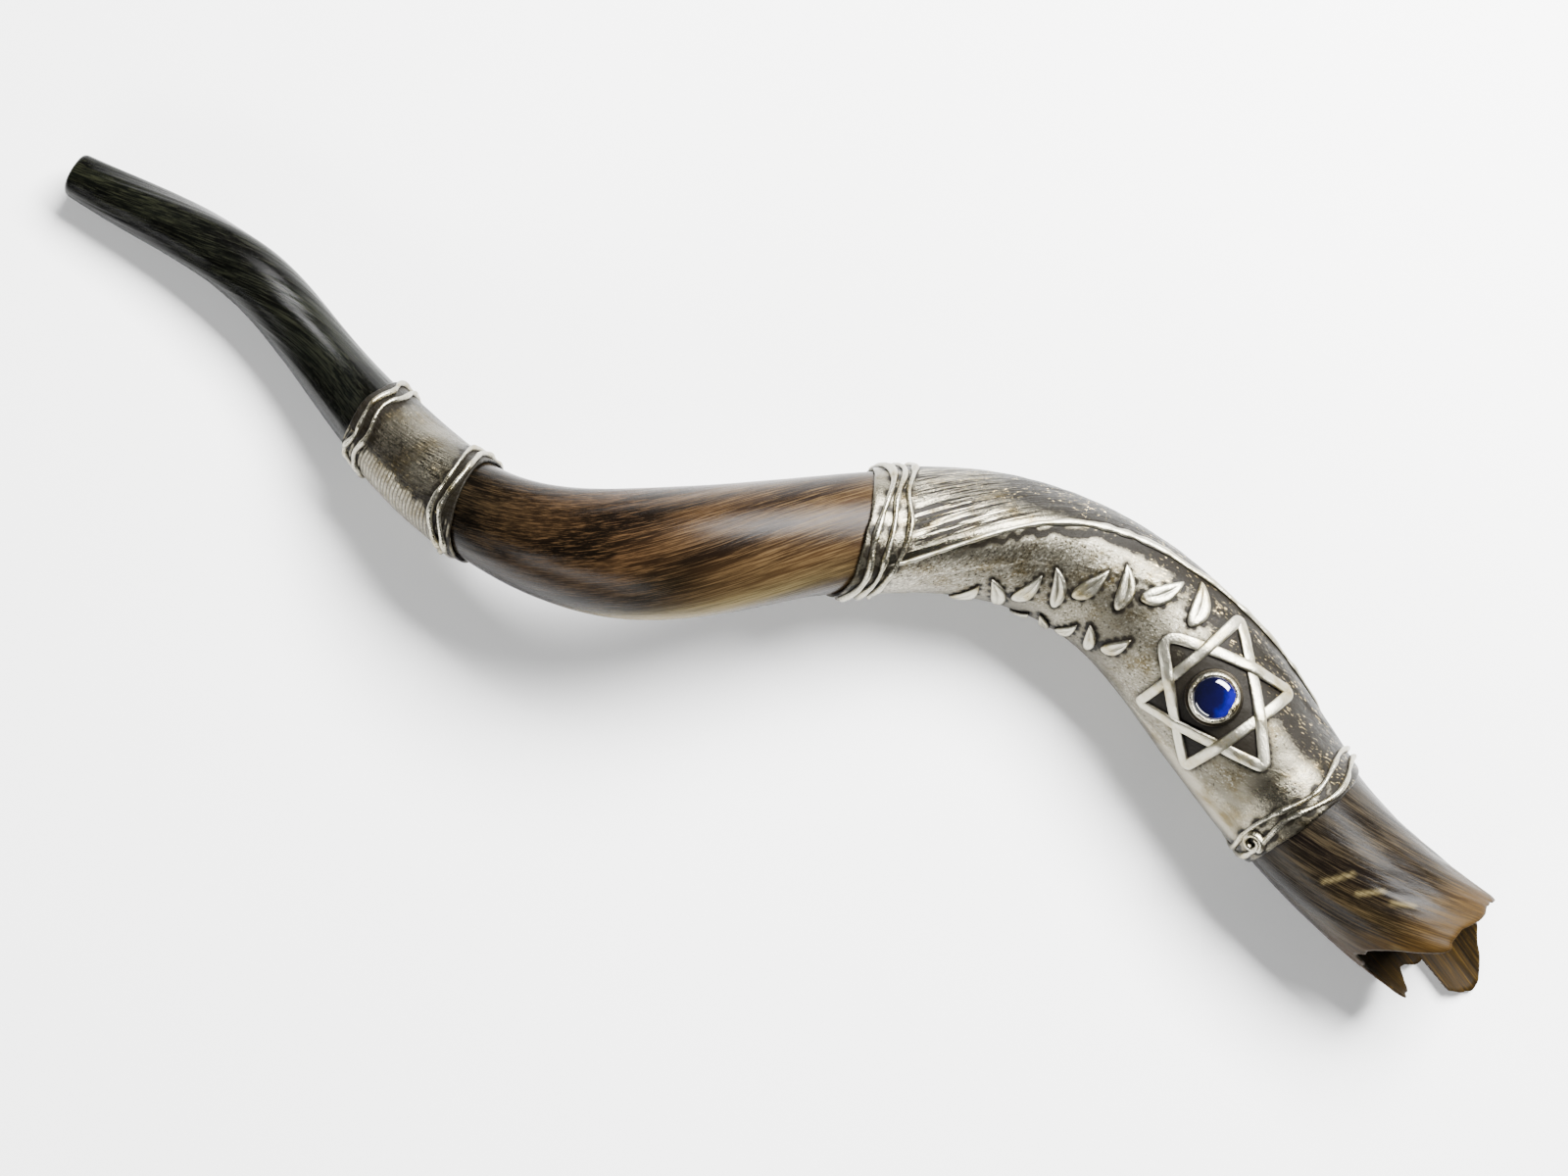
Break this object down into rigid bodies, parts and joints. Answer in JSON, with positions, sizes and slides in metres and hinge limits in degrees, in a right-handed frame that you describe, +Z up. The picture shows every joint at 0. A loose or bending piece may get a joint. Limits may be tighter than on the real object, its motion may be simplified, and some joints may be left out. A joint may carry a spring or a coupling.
{
  "type": "shofar",
  "caption": "Long spiral antelope horn, drilled at the mouth and open at a ragged bell, with chased silver sleeves, a raised six-pointed star and a blue glass stone.",
  "frame": {"origin": "on the surface the horn lies on, under the middle of its box", "axes": "+X from the mouth to the bell, +Z up from the surface it lies on"},
  "size_m": [0.6238, 0.14, 0.0778],
  "materials": {
    "horn": null,
    "silver_sheet": "chased silver sheet, oxidised in the hollows",
    "silver_wire": "drawn silver wire, polished on top",
    "silver_relief": "raised silver, polished on top",
    "silver_dark": "oxidised silver",
    "pitch": "dark setting pitch, seen only as a thin edge",
    "blue_glass": "deep blue glass cabochon, glossy"
  },
  "bodies": {
    "root": {"horn": "horn", "front_sleeve": "silver_sheet", "front_sleeve_bedding": "pitch", "front_sleeve_mouth_wires": "silver_wire", "front_sleeve_bell_wires": "silver_wire", "bell_sleeve": "silver_sheet", "bell_sleeve_bedding": "pitch", "bell_sleeve_mouth_wires": "silver_wire", "bell_sleeve_bell_wires": "silver_wire", "bell_sleeve_ridge": "silver_relief", "star_triangle_a": "silver_relief", "star_triangle_b": "silver_relief", "stone_seat": "silver_dark", "stone_bezel": "silver_wire", "stone": "blue_glass", "leaf_row_upper": "silver_relief", "leaf_row_lower": "silver_relief"}
  },
  "joints": []
}
